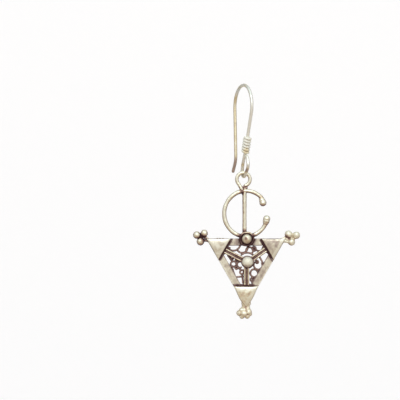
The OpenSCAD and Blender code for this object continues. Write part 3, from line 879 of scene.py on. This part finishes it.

# %% [markdown]
# The hook and the coil are handled every day and stay bright. They brown along the tail and where
# the eye rubs on the loop. The sides that turn away from the front are darkened too: painted shade.

# %% Stain the hook and the coil
TAIL_STAIN, TIP_STAIN, LEG_SATIN = 0.2, 0.19, 0.6
for piece, all_over, sides, satin in ((hook, 0.04, 0.26, 0), (coil, 0.09, 0.06, 1.2)):
    co, facing = points_of(piece), points_of(piece, "normal")
    _, back, up = co.T
    # sides darkens the wire where it turns away from the front: painted shade.
    amount = all_over + 0.05 * waves(co, 3.0, 9) + sides * (1 - np.abs(facing[:, 1])) ** 2
    dull = np.full(len(co), float(satin))
    if piece is hook:
        amount += TAIL_STAIN * fade(back, 3.6, 4.6)
        amount += TIP_STAIN * fade(back, 3.6, 4.2) * fade(up, -16.7, -18.1)
        dull += LEG_SATIN * fade(up, -4, -8) * fade(up, -19, -17) * fade(back, 1.2, 0)
    write_layers(piece, amount + spots_on(piece, co), dull)

# %% [markdown]
# ## The silver
# Clean silver is a mirror with a warm cast. Tarnish turns it yellow first, then brown, and at last
# violet-black. It is a thin skin: it is rougher, it reflects less, and it hides the metal. Satin
# hides the mirror too, but stays white.
#
# One builder makes all three kinds of silver: the bright wire of the hook, the antique silver of
# the pendant's wires and balls, and the sheet, whose thinner stains are greyer. It runs the tarnish
# and the painted shade on each point through a colour ramp, breaks its edge up with noise, and adds
# the marks of wear as bump: long fine scratches, small pits and a soft hammered unevenness.

# %% Mix the silver
STAGES = (0.1, 0.24, 0.43, 0.88)
DARK_HIDES, SATIN_HIDES = 0.5, 0.45
DARK_ROUGH, SATIN_ROUGH, WEAR_ROUGH = 0.34, 0.26, 0.22
SCRATCHES, HAMMERING, PITS, GRAIN = 0.2, 1.2, -0.25, 0.35
OXIDE = (0.07, 0.028, 0.034)
SUMS = {"+": "ADD", "-": "SUBTRACT", "*": "MULTIPLY", "<": "LESS_THAN", "size": "ABSOLUTE"}


def node_tools(tree):
    """Helpers for one node tree: fill a node, add one, do a sum, and run a value through colours."""
    def fill(node, values):
        """Links the values that come from other nodes, and sets the plain ones."""
        for name, value in values.items():
            if isinstance(value, bpy.types.NodeSocket):
                tree.links.new(value, node.inputs[name])
            else:
                node.inputs[name].default_value = value
        return node.outputs

    def add(kind, values=(), **settings):
        node = tree.nodes.new("ShaderNode" + kind)
        for name, value in settings.items():
            setattr(node, name, value)
        return fill(node, dict(values))

    def maths(sign, a, b, clamp=False):
        return add("Math", {0: a, 1: b}, operation=SUMS[sign], use_clamp=clamp)[0]

    def ramp(value, stops, blend="LINEAR"):
        node = tree.nodes.new("ShaderNodeValToRGB")
        node.color_ramp.interpolation = blend
        elements = node.color_ramp.elements
        while len(elements) < len(stops):
            elements.new(0.5)
        for element, (position, colour) in zip(elements, stops):
            element.position = position
            element.color = (*colour, 1)
        return fill(node, {"Fac": value})["Color"]

    return fill, add, maths, ramp


def silver(name, clean, yellow, stained, oxide, shine, mottle, marks):
    """shine is the roughness when clean, mottle the noise in the tarnish, marks the wear."""
    material = bpy.data.materials.new(name)
    material.use_nodes = True
    fill, add, maths, ramp = node_tools(material.node_tree)
    place = add("Mapping", {"Scale": (1000, 1000, 1000), "Vector": add("TexCoord")["Object"]})["Vector"]

    def noisy(size, detail, rough=0.55, rotation=(0, 0, 0), stretch=(1, 1, 1)):
        """Noise with bumps about size millimetres apart."""
        at = add("Mapping", {"Rotation": rotation, "Scale": stretch, "Vector": place})["Vector"]
        return add("TexNoise", {"Scale": 1 / size, "Detail": detail, "Roughness": rough, "Vector": at})["Fac"]

    tarnish, satin = (add("Attribute", attribute_name=layer)["Fac"] for layer in ("tarnish", "satin"))
    grain = noisy(0.16, 4, 0.7)
    broken = maths("+", maths("*", maths("-", noisy(0.9, 5), 0.5), mottle * 1.3),
                   maths("*", maths("-", grain, 0.5), mottle))
    dark = maths("+", tarnish, broken, clamp=True)
    hidden = maths("+", maths("*", dark, DARK_HIDES), maths("*", satin, SATIN_HIDES))
    worn = maths("*", maths("-", noisy(0.45, 4), 0.5), WEAR_ROUGH)
    duller = maths("+", maths("*", dark, DARK_ROUGH), maths("*", satin, SATIN_ROUGH))

    scratches = maths("+", noisy(0.05, 3, 0.6, (0.2, 0.5, 0.3), (1, 0.06, 0.9)),
                      noisy(0.05, 3, 0.6, (1.1, 0.2, 0.9), (0.05, 1, 0.8)))
    dots = add("TexVoronoi", {"Scale": 2.6, "Vector": place})["Distance"]
    small = maths("+", maths("*", maths("<", dots, 0.12), PITS), maths("*", grain, GRAIN))
    broad = maths("+", maths("*", noisy(0.8, 2), HAMMERING), small)
    height = maths("+", maths("*", scratches, SCRATCHES), broad)
    fill(material.node_tree.nodes["Principled BSDF"], {
        "Base Color": ramp(dark, list(zip(STAGES, (clean, yellow, stained, oxide)))),
        "Metallic": maths("-", 1.0, hidden, clamp=True),
        "Roughness": maths("+", maths("+", shine, worn), duller, clamp=True),
        "Normal": add("Bump", {"Strength": marks, "Distance": 0.00005, "Height": height})["Normal"]})
    return material


bright = silver("bright_silver", clean=(0.93, 0.945, 0.93), yellow=(0.85, 0.77, 0.56),
                stained=(0.56, 0.45, 0.41), oxide=(0.22, 0.165, 0.155), shine=0.38, mottle=0.16, marks=0.35)
antique = silver("antique_silver", clean=(0.92, 0.905, 0.8), yellow=(0.75, 0.66, 0.51),
                 stained=(0.44, 0.295, 0.265), oxide=OXIDE, shine=0.37, mottle=0.34, marks=0.6)
sheet = silver("sheet_silver", clean=(0.91, 0.905, 0.83), yellow=(0.72, 0.67, 0.58),
               stained=(0.44, 0.36, 0.335), oxide=OXIDE, shine=0.37, mottle=0.27, marks=0.6)
print("materials:", bright.name, antique.name, sheet.name)

# %% [markdown]
# ## Onto the frame
# Now each piece is scaled to metres, shaded smooth, and given to the body that it moves with. The
# hook and coil stay in the ear. Everything soldered swings with the pendant.

# %% Hand the pieces to their bodies
MM = 0.001


def hand_over(piece, body, node, material):
    piece.data.transform(Matrix.Scale(MM, 4))
    piece.data.shade_smooth()
    piece.data.materials.append(material)
    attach(piece, body)
    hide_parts(node)


hand_over(hook, "hook", "ear_hook", bright)
hand_over(coil, "hook", "hook_coil", bright)
for piece in pendant_pieces:
    metal = sheet if piece in (plate, boss, *caps[:2]) else antique
    hand_over(piece, "pendant", "fibula_pendant", metal)
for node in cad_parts.values():
    node.data.materials.clear()
    node.data.materials.append(bright if node.name != "fibula_pendant" else antique)
print("faces in all:", sum(len(p.data.polygons) for p in (hook, coil, *pendant_pieces)))

# %% [markdown]
# ## The studio
# A pale paper sweep hangs well behind, so that the camera can go all the way round. It glows behind
# the earring and fades toward its edges. Its front half is warmer and out of sight, but the silver
# picks it up from below.

# %% Hang the paper
PAPER_HALF, PAPER_TOP, PAPER_FRONT = 4.0, 1.1, -5.0
BEND_Y, BEND_Z, BEND_R = 0.15, -0.2, 0.35
profile = [(PAPER_FRONT, BEND_Z - BEND_R)]
profile += [(BEND_Y + BEND_R * math.sin(a), BEND_Z - BEND_R * math.cos(a))
            for a in np.linspace(0, math.pi / 2, 24)]
profile += [(BEND_Y + BEND_R, PAPER_TOP)]
n = len(profile)
paper_mesh = bpy.data.meshes.new("paper_sweep")
paper_mesh.from_pydata([(x, y, z) for x in (-PAPER_HALF, PAPER_HALF) for y, z in profile], [],
                       [(i, i + 1, n + i + 1, n + i) for i in range(n - 1)])
paper_mesh.shade_smooth()
paper = placed("paper_sweep", paper_mesh)
paper_white = bpy.data.materials.new("paper_white")
paper_white.use_nodes = True
fill, add, maths, ramp = node_tools(paper_white.node_tree)
place = add("TexCoord")["Object"]
far = add("VectorMath", {0: place, 1: (-0.01, 0.5, -0.03)}, operation="DISTANCE")["Value"]
glow = ramp(far, [(0.17, (0.56, 0.57, 0.6)), (0.42, (0.06, 0.055, 0.055))], "EASE")
toward_us = maths("-", 0.5, add("SeparateXYZ", {0: place})["Y"])
tone = ramp(toward_us, [(0.4, (0.5, 0.495, 0.505)), (0.65, (0.72, 0.56, 0.44))])
fill(paper_white.node_tree.nodes["Principled BSDF"],
     {"Roughness": 0.9, "Base Color": tone, "Emission Color": glow, "Emission Strength": 1.0})
paper_mesh.materials.append(paper_white)
print("the paper hangs", round((BEND_Y + BEND_R) * 1000), "mm behind the earring")

# %% [markdown]
# Polished metal shows its surroundings and little else, so the light is mostly large soft areas.
# The sky is bright above and darker at both sides, which draws thin dark edges along the wires.

# %% Light the studio
def soft_light(name, place, aim, size, power, colour=(1, 1, 1)):
    lamp = bpy.data.lights.new(name, "AREA")
    lamp.shape = "RECTANGLE"
    lamp.size, lamp.size_y = size
    lamp.energy = power
    lamp.color = colour
    ob = placed(name, lamp)
    ob.location = place
    ob.rotation_euler = (Vector(aim) - Vector(place)).to_track_quat("-Z", "Y").to_euler()
    print(name, "gives", power, "W")


middle = (0, 0, -0.03)
soft_light("window_light", (0, -0.54, 0.38), middle, (0.26, 0.22), 1.05, (1, 0.985, 0.955))
soft_light("top_light", (0.1, 0.05, 0.55), middle, (0.6, 0.5), 0.18)
soft_light("fill_light", (0.5, -0.5, -0.05), middle, (0.25, 0.4), 0.16, (0.98, 0.98, 1))
soft_light("paper_light", (0, -0.1, 0.7), (0, 0.5, 0.1), (1.2, 0.4), 0.6)
world = bpy.data.worlds.new("studio")
bpy.context.scene.world = world
world.use_nodes = True
fill, add, maths, ramp = node_tools(world.node_tree)
toward_sky = add("SeparateXYZ", {0: add("TexCoord")["Generated"]})
height = maths("+", maths("*", toward_sky["Z"], 0.5), 0.5)
up_and_down = ramp(height, [(0, (0.24, 0.2, 0.18)), (0.22, (0.34, 0.29, 0.25)),
                            (0.38, (0.44, 0.385, 0.345)), (0.52, (0.54, 0.53, 0.475)),
                            (0.63, (0.97, 0.97, 0.91)), (0.74, (0.9, 0.92, 0.86)),
                            (0.86, (0.56, 0.61, 0.56)), (1, (0.32, 0.37, 0.34))])
to_the_sides = ramp(maths("size", toward_sky["X"], 0.0),
                    [(0, (1, 1, 1)), (0.5, (0.96, 0.96, 0.95)),
                     (0.8, (0.62, 0.59, 0.57)), (1, (0.5, 0.46, 0.45))])
both = add("Mix", {"Factor": 1.0, 6: up_and_down, 7: to_the_sides}, data_type="RGBA", blend_type="MULTIPLY")
fill(world.node_tree.nodes["Background"], {"Color": both[2], "Strength": 1.35})

# %% [markdown]
# ## The camera
# A long lens keeps the triangle's sides straight. It looks straight along the pendant's face, and it
# stands where the hanging point comes to its place in the picture.

# %% Aim the camera
lens = bpy.data.cameras.new("camera")
lens.lens = 135
lens.sensor_width = 36
lens.clip_start, lens.clip_end = 0.01, 10
camera = placed("camera", lens)
camera.location = (-0.01095, -0.375, -0.0283)
camera.rotation_euler = (math.pi / 2, 0, 0)
bpy.context.scene.camera = camera
bpy.context.scene.view_settings.view_transform = "Standard"
bpy.context.scene.view_settings.look = "None"
print("the camera stands", -camera.location.y, "m in front")
